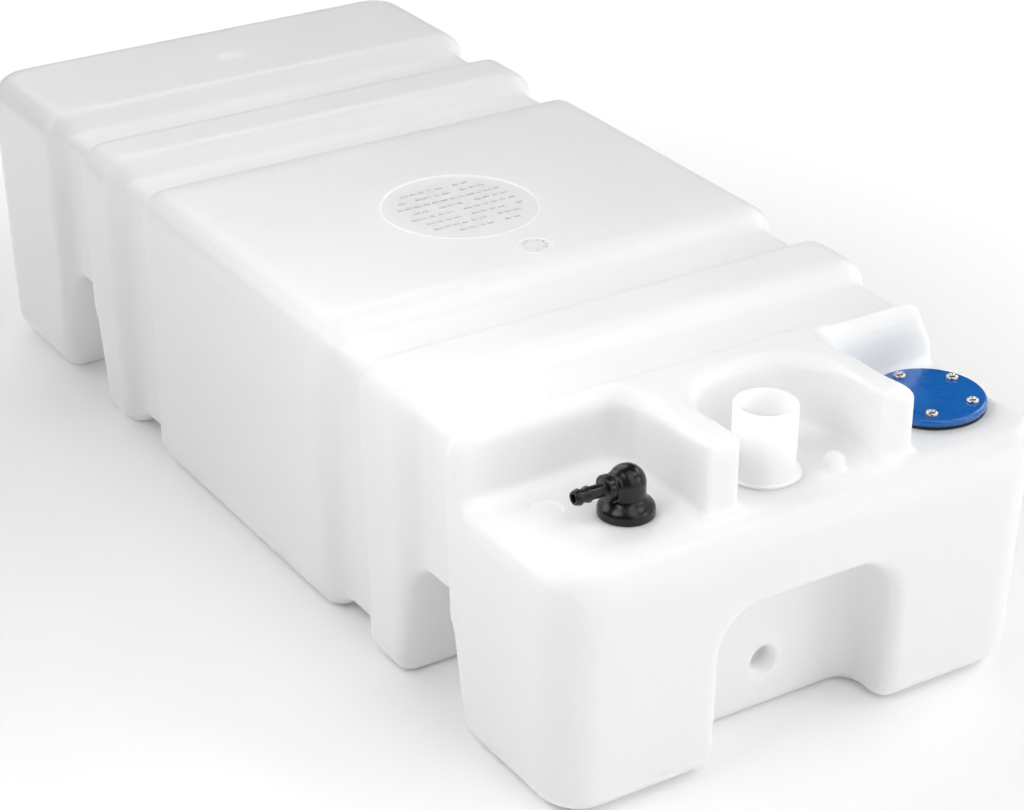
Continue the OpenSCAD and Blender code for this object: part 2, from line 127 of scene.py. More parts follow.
@dataclass
class Skin:
    """Closed surface as points and four-sided faces."""

    points: Array
    quads: Array

    @classmethod
    def of(cls, shape: Field, lines: Sequence[Array], passes: int = 3) -> "Skin":
        """Surface where a field is zero.

        Args:
            shape: field, negative inside.
            lines: grid lines along X, Y and Z, wider than the shape.
            passes: number of times the points are drawn onto the field's zero.

        Returns:
            The skin, its faces pointing outwards.
        """
        values = shape(*np.meshgrid(*lines, indexing="ij"))
        cells = tuple(n - 1 for n in values.shape)
        total, count = np.zeros((*cells, 3)), np.zeros(cells)
        fans: list[tuple[Array, Array]] = []
        for axis in range(3):
            u, v = (axis + 1) % 3, (axis + 2) % 3
            low, high = [slice(None)] * 3, [slice(None)] * 3
            low[axis], high[axis] = slice(0, -1), slice(1, None)
            a, b = values[tuple(low)], values[tuple(high)]
            crossed = (a < 0) != (b < 0)
            at = np.argwhere(crossed)
            share = a[crossed] / (a[crossed] - b[crossed])
            place = np.stack([lines[d][at[:, d]] for d in range(3)], axis=1)
            place[:, axis] += share * (lines[axis][at[:, axis] + 1] - lines[axis][at[:, axis]])
            ring = []
            for du, dv in ((1, 1), (0, 1), (0, 0), (1, 0)):
                cell = at.copy()
                cell[:, u] -= du
                cell[:, v] -= dv
                np.add.at(total, tuple(cell.T), place)
                np.add.at(count, tuple(cell.T), 1)
                ring.append(np.ravel_multi_index(tuple(cell.T), cells))
            fans.append((np.stack(ring, axis=1), a[crossed] < 0))
        used = np.flatnonzero(count.ravel())
        number = np.full(count.size, -1)
        number[used] = np.arange(len(used))
        points = total.reshape(-1, 3)[used] / count.ravel()[used, None]
        quads = [number[np.where(out[:, None], ring, ring[:, ::-1])] for ring, out in fans]
        for _ in range(passes):
            points = points - cls.step(shape, points)
        return cls(points, np.concatenate(quads))

    @staticmethod
    def step(shape: Field, points: Array, hair: float = 0.02, most: float = 1.5) -> Array:
        """Step from each point to the field's zero.

        Args:
            shape: the field.
            points: places to move.
            hair: distance over which the slope is taken.
            most: longest step.

        Returns:
            One step for each point.
        """
        here = shape(*points.T)
        rises = [shape(*(points + off).T) - shape(*(points - off).T) for off in np.eye(3) * hair]
        slope = np.stack(rises, axis=1)
        slope /= 2.0 * hair
        move = here[:, None] * slope / np.maximum((slope**2).sum(axis=1), 0.05)[:, None]
        length = np.linalg.norm(move, axis=1, keepdims=True)
        return move * np.minimum(1.0, most / np.maximum(length, 1e-9))


@dataclass(frozen=True)
class Spot:
    """Round feature on a flat part of a skin, turned from a profile.

    The profile runs from the outside in, as radius and height above the flat.
    """

    centre: tuple[float, float, float]
    profile: tuple[tuple[float, float], ...]
    normal: tuple[float, float, float] = (0.0, 0.0, 1.0)
    sides: int = 64
    guard: float = 0.5

    def basis(self) -> tuple[Vector, Vector, Vector]:
        """Two directions in the flat, and its normal."""
        n = Vector(self.normal)
        u = Vector((1.0, 0.0, 0.0))
        return u, n.cross(u), n

    def ring(self, radius: float, height: float) -> list[Vector]:
        """Points of one ring of the feature, in millimetres."""
        u, v, n = self.basis()
        turns = [2.0 * math.pi * i / self.sides for i in range(self.sides)]
        base = Vector(self.centre) + n * height
        return [base + radius * (math.cos(t) * u + math.sin(t) * v) for t in turns]

    def covers(self, skin: Skin) -> list[int]:
        """Numbers of the skin's faces that the feature takes the place of."""
        u, v, n = (np.array(d) for d in self.basis())
        rel = skin.points - np.array(self.centre)
        near = np.abs(rel @ n) < 0.12
        radial = np.hypot(rel @ u, rel @ v)
        hit = radial < self.profile[0][0] + self.guard + 0.3
        return np.flatnonzero(near[skin.quads].all(axis=1) & hit[skin.quads].any(axis=1)).tolist()

    def cut(self, bm: bmesh.types.BMesh, doomed: list[bmesh.types.BMFace]) -> None:
        """Open the skin and turn the profile in the opening.

        Args:
            bm: the skin's mesh, in metres.
            doomed: faces that the feature takes the place of.
        """
        going = set(doomed)
        rim = {e for f in doomed for e in f.edges if sum(g in going for g in e.link_faces) == 1}
        bmesh.ops.delete(bm, geom=doomed, context="FACES_KEEP_BOUNDARY")
        rows = ((self.profile[0][0] + self.guard, 0.0), *self.profile)
        rings = [[bm.verts.new(p * MM) for p in self.ring(r, h)] for r, h in rows if r > 0]
        first = [bm.edges.new((a, b)) for a, b in zip(rings[0], rings[0][1:] + rings[0][:1])]
        bmesh.ops.triangle_fill(bm, use_beauty=True, edges=[*rim, *first], normal=Vector(self.normal))
        for outer, inner in zip(rings, rings[1:]):
            for i in range(self.sides):
                j = (i + 1) % self.sides
                bm.faces.new((outer[i], outer[j], inner[j], inner[i]))
        last = rings[-1]
        if rows[-1][0] > 0:
            bm.faces.new(last)
        else:
            tip = bm.verts.new((Vector(self.centre) + Vector(self.normal) * rows[-1][1]) * MM)
            for i in range(self.sides):
                bm.faces.new((last[i], last[(i + 1) % self.sides], tip))


def arc(centre: tuple[float, float], r: float, start: float, end: float,
        steps: int = 5) -> list[tuple[float, float]]:
    """Points along an arc of a profile.

    Args:
        centre: radius and height of the arc's centre.
        r: the arc's radius.
        start: first angle in degrees.
        end: last angle in degrees.
        steps: number of steps.

    Returns:
        Radius and height of each point.
    """
    turns = [math.radians(start + (end - start) * i / steps) for i in range(steps + 1)]
    return [(centre[0] + r * math.cos(t), centre[1] + r * math.sin(t)) for t in turns]


def turned(bm: bmesh.types.BMesh, profile: Sequence[tuple[float, float]], centre: tuple[float, float, float],
           sides: int = 96) -> None:
    """Turn a closed profile round an upright axis.

    Args:
        bm: mesh that takes the faces, in metres.
        profile: radius and height of each point; a radius of 0 closes an end.
        centre: place of the axis, with the height the profile is measured from.
        sides: number of steps round.
    """
    rings: list[list[bmesh.types.BMVert]] = []
    for r, h in profile:
        turns = [2.0 * math.pi * i / sides for i in range(sides)] if r > 0 else [0.0]
        spots = [(centre[0] + r * math.cos(t), centre[1] + r * math.sin(t), centre[2] + h) for t in turns]
        rings.append([bm.verts.new(Vector(p) * MM) for p in spots])
    loops = list(zip(rings, rings[1:]))
    if profile[0][0] > 0:
        loops.append((rings[-1], rings[0]))
    for a, b in loops:
        for i in range(sides):
            j = (i + 1) % sides
            face = [a[i % len(a)], a[j % len(a)], b[j % len(b)], b[i % len(b)]]
            corners = list(dict.fromkeys(face))
            if len(corners) > 2:
                bm.faces.new(corners)


# Pieces


@dataclass(frozen=True)
class Piece:
    """One named object of the dressed model."""

    name: str
    body: Body
    slot: Slot
    stands_for: tuple[str, ...] = ()

    def from_bmesh(self, bm: bmesh.types.BMesh, material: bpy.types.Material) -> bpy.types.Object:
        """Make the object from a mesh under construction.

        Args:
            bm: the mesh, which is freed.
            material: its finish.

        Returns:
            The object, in place and riding on its body.
        """
        bmesh.ops.recalc_face_normals(bm, faces=bm.faces[:])
        mesh = bpy.data.meshes.new(self.name)
        bm.to_mesh(mesh)
        bm.free()
        return self.from_mesh(mesh, material)

    def from_mesh(self, mesh: bpy.types.Mesh, material: bpy.types.Material) -> bpy.types.Object:
        """Make the object from a finished mesh.

        Args:
            mesh: the mesh, in metres.
            material: its finish.

        Returns:
            The object, in place and riding on its body.
        """
        mesh.polygons.foreach_set("use_smooth", np.ones(len(mesh.polygons), dtype=bool))
        mesh.materials.clear()
        mesh.materials.append(material)
        obj = bpy.data.objects.new(self.name, mesh)
        bpy.context.scene.collection.objects.link(obj)
        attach(obj, self.body.value)
        if self.stands_for:
            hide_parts(*self.stands_for)
        LOG.info("%s: %d faces on %s", self.name, len(mesh.polygons), self.body.value)
        return obj


# Finishes


class Wiring:
    """Adds nodes to a tree and links them."""

    def __init__(self, tree: bpy.types.NodeTree) -> None:
        """Keep the tree that the nodes go into."""
        self.tree = tree

    def add(self, kind: str, inputs: dict[str, object] | None = None, **settings: object) -> bpy.types.Node:
        """Add one node.

        Args:
            kind: the node's type.
            inputs: values, sockets or nodes for its inputs, by name or number; a node gives its
                first output.
            settings: the node's own properties.

        Returns:
            The node.
        """
        node = self.tree.nodes.new(kind)
        for key, value in settings.items():
            setattr(node, key, value)
        for key, value in (inputs or {}).items():
            socket = node.inputs[int(key)] if key.isdigit() else node.inputs[key]
            value = value.outputs[0] if isinstance(value, bpy.types.Node) else value
            if isinstance(value, bpy.types.NodeSocket):
                self.tree.links.new(value, socket)
            else:
                socket.default_value = value
        return node

    def remap(self, value: bpy.types.Node | bpy.types.NodeSocket, old: Sequence[object],
              new: Sequence[object]) -> bpy.types.Node:
        """Map one range of a value onto another.

        Args:
            value: the node or socket to map.
            old: range that the value is held to.
            new: range that it is mapped onto.

        Returns:
            The mapping node.
        """
        ends = dict(zip(("From Min", "From Max", "To Min", "To Max"), (*old, *new)))
        return self.add("ShaderNodeMapRange", {"Value": value, **ends})

    def sockets(self, way: str, kind: str, *names: str) -> None:
        """Add sockets to the tree's own inputs or outputs."""
        for name in names:
            self.tree.interface.new_socket(name, in_out=way, socket_type=kind)


def blank(name: str) -> tuple[bpy.types.Material, Wiring]:
    """New material without nodes, and the wiring of its tree."""
    mat = bpy.data.materials.new(name)
    mat.use_nodes = True
    mat.node_tree.nodes.clear()
    return mat, Wiring(mat.node_tree)


class Effects:
    """Shader groups that more than one finish uses."""

    def __init__(self) -> None:
        """Build every group once."""
        self.grain = self._grain()
        self.scuff = self._scuff()

    @staticmethod
    def _grain() -> bpy.types.NodeTree:
        """Moulded grain: a fine height, and a cloud that drifts over the piece."""
        tree = bpy.data.node_groups.new("moulded grain", "ShaderNodeTree")
        w = Wiring(tree)
        w.sockets("INPUT", "NodeSocketFloat", "Grain scale", "Cloud scale", "Pebble share")
        w.sockets("OUTPUT", "NodeSocketFloat", "Height", "Cloud")
        given = w.add("NodeGroupInput").outputs
        at = w.add("ShaderNodeTexCoord").outputs["Object"]
        fine = w.add("ShaderNodeTexNoise", {"Vector": at, "Scale": given["Grain scale"], "Detail": 3.0})
        pebble = w.add("ShaderNodeTexVoronoi", {"Vector": at, "Scale": given["Grain scale"]},
                       feature="SMOOTH_F1")
        mixed = w.add("ShaderNodeMix", {"0": given["Pebble share"], "2": fine,
                                        "3": pebble})
        cloud = w.add("ShaderNodeTexNoise", {"Vector": at, "Scale": given["Cloud scale"], "Detail": 4.0,
                                             "Roughness": 0.6})
        w.add("NodeGroupOutput", {"Height": mixed, "Cloud": cloud})
        return tree

    @staticmethod
    def _scuff() -> bpy.types.NodeTree:
        """Metal scuff: streaks in the gloss and the height."""
        tree = bpy.data.node_groups.new("metal scuff", "ShaderNodeTree")
        w = Wiring(tree)
        w.sockets("INPUT", "NodeSocketFloat", "Streak scale", "Low gloss", "High gloss")
        w.sockets("OUTPUT", "NodeSocketFloat", "Roughness", "Height")
        given = w.add("NodeGroupInput").outputs
        at = w.add("ShaderNodeTexCoord").outputs["Object"]
        flat = w.add("ShaderNodeMapping", {"Vector": at, "Scale": (1.0, 0.25, 1.0)})
        streak = w.add("ShaderNodeTexNoise", {"Vector": flat, "Scale": given["Streak scale"], "Detail": 5.0})
        gloss = w.remap(streak, NOISE_SPAN, (given["Low gloss"], given["High gloss"]))
        w.add("NodeGroupOutput", {"Roughness": gloss, "Height": streak})
        return tree


@dataclass(frozen=True)
class ShadePatch:
    """Round place on a piece, painted a little darker as shade on the floor of a shallow recess."""

    centre: tuple[float, float]
    r: float
    floor: float
    tone: float

    def over(self, w: Wiring, colour: bpy.types.NodeSocket) -> bpy.types.NodeSocket:
        """Paint shade inside the round place by darkening a colour, but not on what stands above its floor.

        Args:
            w: the material's wiring.
            colour: the colour outside the painted shade.

        Returns:
            The changed colour.
        """
        at = w.add("ShaderNodeTexCoord").outputs["Object"]
        flat = w.add("ShaderNodeVectorMath", {"0": at, "1": (1.0, 1.0, 0.0)}, operation="MULTIPLY")
        middle = (*(v * MM for v in self.centre), 0.0)
        away = w.add("ShaderNodeVectorMath", {"0": flat, "1": middle}, operation="DISTANCE")
        inside = w.remap(away.outputs["Value"], ((self.r - 1.0) * MM, self.r * MM), (1.0, 0.0))
        height = w.add("ShaderNodeSeparateXYZ", {"Vector": at}).outputs["Z"]
        low = w.remap(height, ((self.floor + 0.1) * MM, (self.floor + 0.4) * MM), (1.0, 0.0))
        both = w.add("ShaderNodeMath", {"0": inside, "1": low}, operation="MULTIPLY")
        dim = w.add("ShaderNodeVectorMath", {"0": colour, "Scale": self.tone}, operation="SCALE")
        mixed = w.add("ShaderNodeMix", {"0": both, "6": colour, "7": dim},
                      data_type="RGBA")
        return mixed.outputs[2]


@dataclass(frozen=True)
class Moulded:
    """Finish of a moulded plastic or rubber piece."""

    name: str
    light: Colour
    dark: Colour
    gloss: tuple[float, float]
    grain_scale: float
    cloud_scale: float
    bump: float
    pebble: float = 0.0
    constants: tuple[tuple[str, object], ...] = ()
    shade_patch: ShadePatch | None = None

    def make(self, effects: Effects) -> bpy.types.Material:
        """Build the material.

        Args:
            effects: the shared shader groups.

        Returns:
            The material.
        """
        mat, w = blank(self.name)
        grain = w.add("ShaderNodeGroup", {"Grain scale": self.grain_scale, "Cloud scale": self.cloud_scale,
                                          "Pebble share": self.pebble}, node_tree=effects.grain)
        cloud = grain.outputs["Cloud"]
        share = w.remap(cloud, NOISE_SPAN, (0.0, 1.0))
        tone = w.add("ShaderNodeMix", {"0": share, "6": (*self.dark, 1.0), "7": (*self.light, 1.0)},
                     data_type="RGBA").outputs[2]
        bump = w.add("ShaderNodeBump", {"Height": grain.outputs["Height"], "Strength": self.bump,
                                        "Distance": 0.0004})
        # painted shade: the colour is darkened on a sunk floor where the finish has one
        surface = w.add("ShaderNodeBsdfPrincipled", {
            "Base Color": self.shade_patch.over(w, tone) if self.shade_patch else tone,
            "Roughness": w.remap(cloud, NOISE_SPAN, self.gloss),
            "Normal": bump, **dict(self.constants)})
        surface.subsurface_method = "BURLEY"
        w.add("ShaderNodeOutputMaterial", {"Surface": surface})
        return mat


@dataclass(frozen=True)
class Metal:
    """Finish of a metal piece."""

    name: str
    colour: Colour
    gloss: tuple[float, float]
    streak_scale: float
    bump: float

    def make(self, effects: Effects) -> bpy.types.Material:
        """Build the material.

        Args:
            effects: the shared shader groups.

        Returns:
            The material.
        """
        mat, w = blank(self.name)
        scuff = w.add("ShaderNodeGroup", {"Streak scale": self.streak_scale, "Low gloss": self.gloss[0],
                                          "High gloss": self.gloss[1]}, node_tree=effects.scuff)
        bump = w.add("ShaderNodeBump", {"Height": scuff.outputs["Height"], "Strength": self.bump,
                                        "Distance": 0.0002})
        surface = w.add("ShaderNodeBsdfPrincipled", {"Base Color": (*self.colour, 1.0), "Metallic": 1.0,
                                                     "Roughness": scuff.outputs["Roughness"],
                                                     "Normal": bump})
        w.add("ShaderNodeOutputMaterial", {"Surface": surface})
        return mat


class Finishes:
    """Every material of the model, by slot."""

    def __init__(self) -> None:
        """Build the shared groups and each material."""
        effects = Effects()
        milky = self.waxy(0.6, 0.015, IOR=1.5, **{"Specular IOR Level": 0.4})
        clear = self.waxy(0.8, 0.012, IOR=1.45)
        # painted shade: the sunk disc's floor on the tank top is coloured a little darker
        disc = ShadePatch((-4.0, -10.0), 52.0, 204.4, 0.965)
        glossy = (("Coat Weight", 0.3), ("Coat Roughness", 0.12))
        black = (("Specular IOR Level", 0.42),)
        finishes: dict[Slot, Moulded | Metal] = {
            Slot.TANK: Moulded("milky tank plastic", (0.985, 0.987, 0.981), (0.968, 0.971, 0.965),
                               (0.3, 0.38), 900.0, 14.0, 0.05, 0.3, milky, disc),
            Slot.NECK: Moulded("clear neck plastic", (0.945, 0.947, 0.945), (0.92, 0.924, 0.922),
                               (0.3, 0.42), 900.0, 40.0, 0.05, 0.0, clear),
            Slot.BLUE: Moulded("blue gloss plastic", (0.007, 0.148, 0.54), (0.005, 0.128, 0.48),
                               (0.24, 0.34), 1200.0, 60.0, 0.08, 0.2, glossy),
            Slot.BLACK: Moulded("black satin plastic", (0.009, 0.009, 0.010), (0.005, 0.005, 0.005),
                                (0.2, 0.3), 1500.0, 90.0, 0.12, 0.3, black),
            Slot.SEAL: Moulded("seal rubber", (0.014, 0.014, 0.014), (0.007, 0.007, 0.007),
                               (0.6, 0.8), 2000.0, 120.0, 0.2, 0.4),
            Slot.STEEL: Metal("screw steel", (0.56, 0.55, 0.56), (0.16, 0.34), 900.0, 0.1),
            Slot.BRASS: Metal("insert brass", (0.78, 0.58, 0.26), (0.25, 0.45), 700.0, 0.15),
        }
        self.by_slot = {slot: finish.make(effects) for slot, finish in finishes.items()}

    @staticmethod
    def waxy(weight: float, scale: float, **more: float) -> tuple[tuple[str, object], ...]:
        """Constants of a plastic that light goes into.

        Args:
            weight: share of the light that goes in.
            scale: how far it goes, in metres.
            more: other sockets' values.

        Returns:
            Each socket's name and value.
        """
        return (("Subsurface Weight", weight), ("Subsurface Radius", (1.0, 1.0, 1.0)),
                ("Subsurface Scale", scale), *more.items())

    def __getitem__(self, slot: Slot) -> bpy.types.Material:
        """Material of a slot."""
        return self.by_slot[slot]


# Repeats


class Repeats:
    """Geometry node trees for what repeats on the tank."""

    def __init__(self) -> None:
        """Build each tree once."""
        self.ring = self._ring()
        self.rows = self._rows()

    @staticmethod
    def _start(name: str, numbers: Iterable[str], counts: Iterable[str]) -> tuple[Wiring, dict]:
        """New tree with a shape, a material, numbers and counts as inputs.

        Args:
            name: the tree's name.
            numbers: names of its number inputs.
            counts: names of its whole-number inputs.

        Returns:
            The wiring, and the input node's outputs.
        """
        w = Wiring(bpy.data.node_groups.new(name, "GeometryNodeTree"))
        w.sockets("INPUT", "NodeSocketGeometry", "Shape")
        w.sockets("INPUT", "NodeSocketMaterial", "Finish")
        w.sockets("INPUT", "NodeSocketVector", "Centre")
        w.sockets("INPUT", "NodeSocketFloat", *numbers)
        w.sockets("INPUT", "NodeSocketInt", *counts)
        w.sockets("OUTPUT", "NodeSocketGeometry", "Shape")
        return w, w.add("NodeGroupInput").outputs

    @staticmethod
    def _end(w: Wiring, placed: bpy.types.Node, given: dict) -> bpy.types.NodeTree:
        """Move, realise and finish what a tree has placed."""
        moved = w.add("GeometryNodeTransform", {"Geometry": placed, "Translation": given["Centre"]})
        real = w.add("GeometryNodeRealizeInstances", {"Geometry": moved})
        done = w.add("GeometryNodeSetMaterial", {"Geometry": real, "Material": given["Finish"]})
        w.add("NodeGroupOutput", {"Shape": done})
        return w.tree

    def _ring(self) -> bpy.types.NodeTree:
        """Shapes evenly spaced round a circle, each turned to face outwards."""
        w, given = self._start("ring of shapes", ("Radius", "Start angle"), ("Count",))
        points = w.add("GeometryNodeMeshCircle", {"Vertices": given["Count"], "Radius": given["Radius"]})
        place = w.add("GeometryNodeInputPosition")
        facing = w.add("FunctionNodeAlignRotationToVector", {"Vector": place}, axis="X", pivot_axis="Z")
        made = w.add("GeometryNodeInstanceOnPoints", {"Points": points, "Instance": given["Shape"],
                                                      "Rotation": facing})
        spin = w.add("ShaderNodeCombineXYZ", {"Z": given["Start angle"]})
        turn = w.add("FunctionNodeEulerToRotation", {"Euler": spin})
        turned_ring = w.add("GeometryNodeTransform", {"Geometry": made, "Rotation": turn})
        return self._end(w, turned_ring, given)

    def _rows(self) -> bpy.types.NodeTree:
        """Rows of short bars of uneven length, kept inside a circle."""
        w, given = self._start("rows of bars", ("Width", "Depth", "Limit", "Share"),
                               ("Columns", "Rows", "Seed"))
        grid = w.add("GeometryNodeMeshGrid", {"Size X": given["Width"], "Size Y": given["Depth"],
                                              "Vertices X": given["Columns"], "Vertices Y": given["Rows"]})
        place = w.add("GeometryNodeInputPosition")
        reach = w.add("ShaderNodeVectorMath", {"0": place}, operation="LENGTH")
        outside = w.add("FunctionNodeCompare", {"A": reach.outputs["Value"], "B": given["Limit"]},
                        operation="GREATER_THAN")
        chance = w.add("FunctionNodeRandomValue", {"Probability": given["Share"], "Seed": given["Seed"]},
                       data_type="BOOLEAN")
        absent = w.add("FunctionNodeBooleanMath", {"0": chance.outputs[3]}, operation="NOT")
        gone = w.add("FunctionNodeBooleanMath", {"0": outside, "1": absent}, operation="OR")
        kept = w.add("GeometryNodeDeleteGeometry", {"Geometry": grid, "Selection": gone})
        size = w.add("FunctionNodeRandomValue", {"0": (0.55, 0.9, 0.8), "1": (1.0, 1.1, 1.0),
                                                 "Seed": given["Seed"]}, data_type="FLOAT_VECTOR")
        made = w.add("GeometryNodeInstanceOnPoints", {"Points": kept, "Instance": given["Shape"],
                                                      "Scale": size})
        return self._end(w, made, given)

    @staticmethod
    def run(tree: bpy.types.NodeTree, shape: bmesh.types.BMesh, values: dict[str, object]) -> bpy.types.Mesh:
        """Run a tree on a shape.

        Args:
            tree: one of the trees above.
            shape: the shape that repeats, which is freed.
            values: value of each named input.

        Returns:
            A plain mesh of every copy.
        """
        bmesh.ops.recalc_face_normals(shape, faces=shape.faces[:])
        seed = bpy.data.meshes.new(tree.name)
        shape.to_mesh(seed)
        shape.free()
        obj = bpy.data.objects.new(tree.name, seed)
        bpy.context.scene.collection.objects.link(obj)
        mod = obj.modifiers.new("repeat", "NODES")
        mod.node_group = tree
        names = {s.name: s.identifier for s in tree.interface.items_tree if s.in_out == "INPUT"}
        for name, value in values.items():
            mod[names[name]] = value
        graph = bpy.context.evaluated_depsgraph_get()
        mesh = bpy.data.meshes.new_from_object(obj.evaluated_get(graph))
        obj.modifiers.remove(mod)
        bpy.data.objects.remove(obj)
        return mesh


# Sub-assemblies


@dataclass
class TankShell:
    """Moulded tank with its grooves, pockets, recess and notches."""

    width: float = 350.0
    length: float = 790.0
    height: float = 205.0
    draft: float = 1.47
    corner_r: float = 30.0
    top_r: float = 20.0
    foot_r: float = 18.0
    blocks: tuple[tuple[float, float], ...] = ((-500.0, -269.0), (-220.25, -171.25), (-123.0, 123.0),
                                               (171.25, 220.25), (269.0, 500.0))
    groove_d: float = 11.0
    front_rim: float = 14.0
    rear_rim: float = 6.0
    groove_foot: float = 8.0
    shelf_z: float = 160.0
    shelf_y: float = -283.0
    ridge_y: float = -368.0
    ridge_left: float = -62.0
    ridge_right: float = 87.0
    well: tuple[float, float, float, float] = (-39.0, 60.0, -295.0, 44.0)
    pocket_r: float = 18.0
    cover_rim: float = 10.0
    plan_r: float = 3.5
    shelf_foot: float = 6.0
    lips: tuple[float, float, float] = (14.0, 4.5, 25.0)
    recess_back_r: float = 12.0
    recess_rim: float = 9.0
    notch_end_r: float = 10.0
    notch_rim: float = 6.0
    recess: tuple[float, float, float, float] = (63.0, 108.0, -350.0, 28.0)
    notch: tuple[float, float, float, float] = (26.75, 84.0, 115.0, 14.0)
    notch_lean: float = 8.5
    notch_y: float = 244.75
    neck_at: tuple[float, float] = (-2.0, -341.0)
    pickup_at: tuple[float, float] = (-96.0, -339.0)
    disc_at: tuple[float, float] = (-4.0, -10.0)
    disc_r: float = 52.5
    dial_at: tuple[float, float] = (4.0, -89.0)
    piece: Piece = Piece("tank_skin", Body.TANK, Slot.TANK, ("tank_shell",))
    marks: Piece = Piece("moulded_marks", Body.TANK, Slot.TANK)

    def sides(self, x: Array, y: Array, z: Array) -> tuple[Array, Array]:
        """Distance from the leaning sides and from the leaning ends."""
        lean = math.tan(math.radians(self.draft))
        drop = lean * (self.height - z)
        scale = math.cos(math.radians(self.draft))
        return (np.abs(x) - self.width / 2 + drop) * scale, (np.abs(y) - self.length / 2 + drop) * scale

    def shape(self, x: Array, y: Array, z: Array) -> Array:
        """Field of the whole outside.

        Args:
            x: places across the tank.
            y: places along it.
            z: heights.

        Returns:
            Distance to the surface, negative inside.
        """
        side, end = self.sides(x, y, z)
        whole = round_max(round_max(side, end, self.corner_r), z - self.height, self.top_r)
        whole = round_max(whole, -z, self.foot_r)
        block, rim = np.full_like(whole, 1e3), np.full_like(whole, self.rear_rim)
        for low, high in self.blocks:
            beyond = np.abs(y - (low + high) / 2) - (high - low) / 2
            here = beyond < block
            rim = np.where(here, np.where(y < (low + high) / 2, self.front_rim, self.rear_rim), rim)
            block = np.where(here, beyond, block)
        body = round_min(whole + self.groove_d, round_max(whole, block, rim), self.groove_foot)
        body = self.cut_shelf(body, x, y, z, side, end)
        half, top, back, r = self.recess
        arch = round_max(round_max(np.abs(x) - half, z - top, r), y - back, self.recess_back_r)
        body = round_max(body, -arch, self.recess_rim)
        half, top, inner, r = self.notch
        lean = math.radians(self.notch_lean)
        wall = (np.abs(np.abs(y) - self.notch_y) - half - math.tan(lean) * (top - z)) * math.cos(lean)
        gap = round_max(wall, z - top, r)
        return round_max(body, -round_max(gap, inner - np.abs(x), self.notch_end_r), self.notch_rim)

    def cut_shelf(self, body: Array, x: Array, y: Array, z: Array, side: Array, end: Array) -> Array:
        """Cut the pockets, the filler well and the front strip.

        Args:
            body: field of the tank before the cut.
            x: places across the tank.
            y: places along it.
            z: heights.
            side: distance from the sides.
            end: distance from the ends.

        Returns:
            Field after the cut.
        """
        low, high, back, r = self.well
        left = round_max(x - self.ridge_left, y - self.shelf_y, self.pocket_r)
        right = round_max(self.ridge_right - x, y - self.shelf_y, self.pocket_r)
        well = round_max(np.abs(x - (low + high) / 2) - (high - low) / 2, y - back, r)
        plan = left
        for other in (well, right, y - self.ridge_y):
            plan = round_min(plan, other, self.plan_r)
        space = round_max(plan, self.shelf_z - z, self.shelf_foot)
        left_lip, right_lip, front_lip = self.lips
        lip = np.where(x < 0, left_lip, right_lip)
        lip = lip + (front_lip - lip) * ramp(end - side, -front_lip, front_lip)
        pocket_rim = 3.0 + 4.0 * ramp(y, -366.0, -345.0) + 6.0 * ramp(y, -325.0, -295.0)
        pocket_rim = pocket_rim + self.cover_rim * ramp(x, 66.0, 82.0)
        well_rim = 2.5 + 7.5 * ramp(y, -345.0, -310.0)
        in_well = ramp(x, low - 14.0, low - 4.0) * ramp(-x, -high - 18.0, -high - 6.0)
        rim = pocket_rim + (well_rim - pocket_rim) * in_well
        return round_max(body, -space, lip + (rim - lip) * ramp(z, 168.0, 190.0))

    def spots(self) -> list[Spot]:
        """Round features on the tank's flat places."""
        top, shelf = self.height, self.shelf_z
        bead = [(self.disc_r + out, high) for out, high in (
            (0.9, 0.0), (0.7, 0.12), (0.3, 0.35), (-0.1, 0.12), (-0.5, -0.4), (-0.9, -0.6), (-1.6, -0.6))]
        dial = [(12.9, 0.0), (12.7, 0.15), (12.3, 0.35), (11.8, 0.35), (11.4, 0.15), (11.2, 0.0), (10.6, 0.0)]
        bowl = [(11.4, 0.0), (10.9, -0.1), (10.2, -0.45), (9.4, -1.3), (8.4, -2.0), (7.0, -2.4), (4.0, -2.5)]
        dent = [(9.4, 0.0), (9.1, -0.1), (8.8, -0.5), (8.4, -1.4), (7.8, -1.9), (6.6, -2.1), (3.0, -2.1)]
        nub = [(8.6, 0.0), (7.8, 0.12), (7.0, 0.7), (6.6, 1.6), (6.5, 3.0), (6.45, 4.6),
               *arc((0, 4.6), 6.45, 12, 90, 7)]
        nub[-1] = (0.0, 11.05)
        bore = [(18.6, 0.0), (18.1, -0.3), (18.1, -20.0), (18.1, -43.0), (17.0, -44.0)]
        seat = [(14.1, 0.0), (13.6, -0.2), (13.6, -20.2)]
        thread: list[tuple[float, float]] = [(12.4, 0.0), (11.6, -0.15), (10.9, -0.6)]
        for i in range(7):
            base = -0.9 - 1.7 * i
            thread += [(10.2, base), (10.2, base - 0.25), (9.1, base - 0.85), (9.1, base - 1.1)]
        thread += [(9.0, -13.0), (8.0, -13.6)]
        back = self.recess[2]
        return [Spot((*self.disc_at, top), tuple(bead), sides=144), Spot((*self.dial_at, top), tuple(dial)),
                Spot((-2.0, 322.0, top), tuple(bowl)), Spot((-130.0, -311.0, shelf), tuple(dent)),
                Spot((35.0, -360.0, shelf), tuple(nub), guard=0.3), Spot((*self.neck_at, shelf), tuple(bore)),
                Spot((*self.pickup_at, shelf), tuple(seat)),
                Spot((0.0, back, 35.0), tuple(thread), normal=(0.0, -1.0, 0.0))]

    def lines(self) -> list[Array]:
        """Grid lines, close together where the shape turns."""
        xs = grid_lines((-179, -141, 3.2), (-141, -76, 6.5), (-76, -34, 1.7), (-34, 50, 7), (50, 94, 1.7),
                        (94, 141, 6.5), (141, 179, 3.2))
        ys = grid_lines((-399, -262, 2.1), (-262, -120, 2.8), (-120, 120, 10), (120, 285, 2.8),
                        (285, 360, 7.5), (360, 399, 3.2))
        zs = grid_lines((-4, 20, 2.7), (20, 68, 8), (68, 114, 2.6), (114, 152, 7), (152, 169, 1.7),
                        (169, 181, 4), (181, 209, 1.9))
        return [xs, ys, zs]

